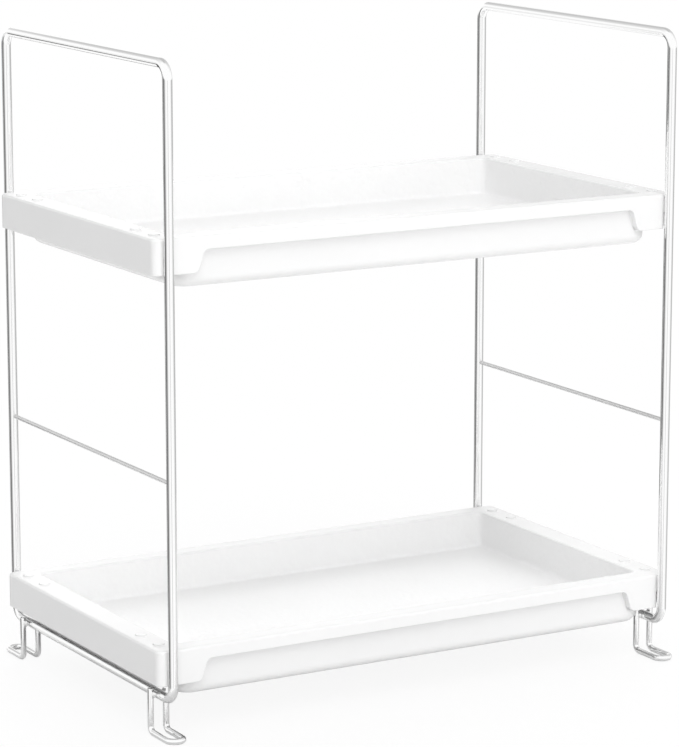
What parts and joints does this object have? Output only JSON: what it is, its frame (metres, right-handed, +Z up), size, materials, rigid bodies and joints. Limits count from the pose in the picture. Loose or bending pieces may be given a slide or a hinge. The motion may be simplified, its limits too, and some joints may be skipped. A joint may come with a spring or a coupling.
{
  "type": "countertop organizer",
  "caption": "Free-standing countertop organizer: shallow white moulded trays, one above the other, between bright wire end frames on bent wire feet; each tray lifts off its support wires.",
  "frame": {"origin": "on the counter, under the middle of the rack", "axes": "+Z up, +X along the trays to the right, -Y towards the front"},
  "size_m": [0.314, 0.2016, 0.3459],
  "materials": {
    "chrome_wire": "bright chromed steel wire",
    "white_plastic": "satin white moulded plastic"
  },
  "bodies": {
    "rack": {"left_end_frame": "chrome_wire", "right_end_frame": "chrome_wire", "left_mid_rail": "chrome_wire", "right_mid_rail": "chrome_wire", "left_upper_support": "chrome_wire", "right_upper_support": "chrome_wire", "left_lower_support": "chrome_wire", "right_lower_support": "chrome_wire", "front_left_foot": "chrome_wire", "rear_left_foot": "chrome_wire", "front_right_foot": "chrome_wire", "rear_right_foot": "chrome_wire"},
    "lower_tray": {"lower_tray": "white_plastic"},
    "upper_tray": {"upper_tray": "white_plastic"}
  },
  "joints": [
    {"name": "lower_tray_lift", "type": "slide", "parent": "rack", "child": "lower_tray", "axis": [0, 0, 1], "range_m": [0, 0.084]},
    {"name": "upper_tray_lift", "type": "slide", "parent": "rack", "child": "upper_tray", "axis": [0, 0, 1], "range_m": [0, 0.08]}
  ]
}
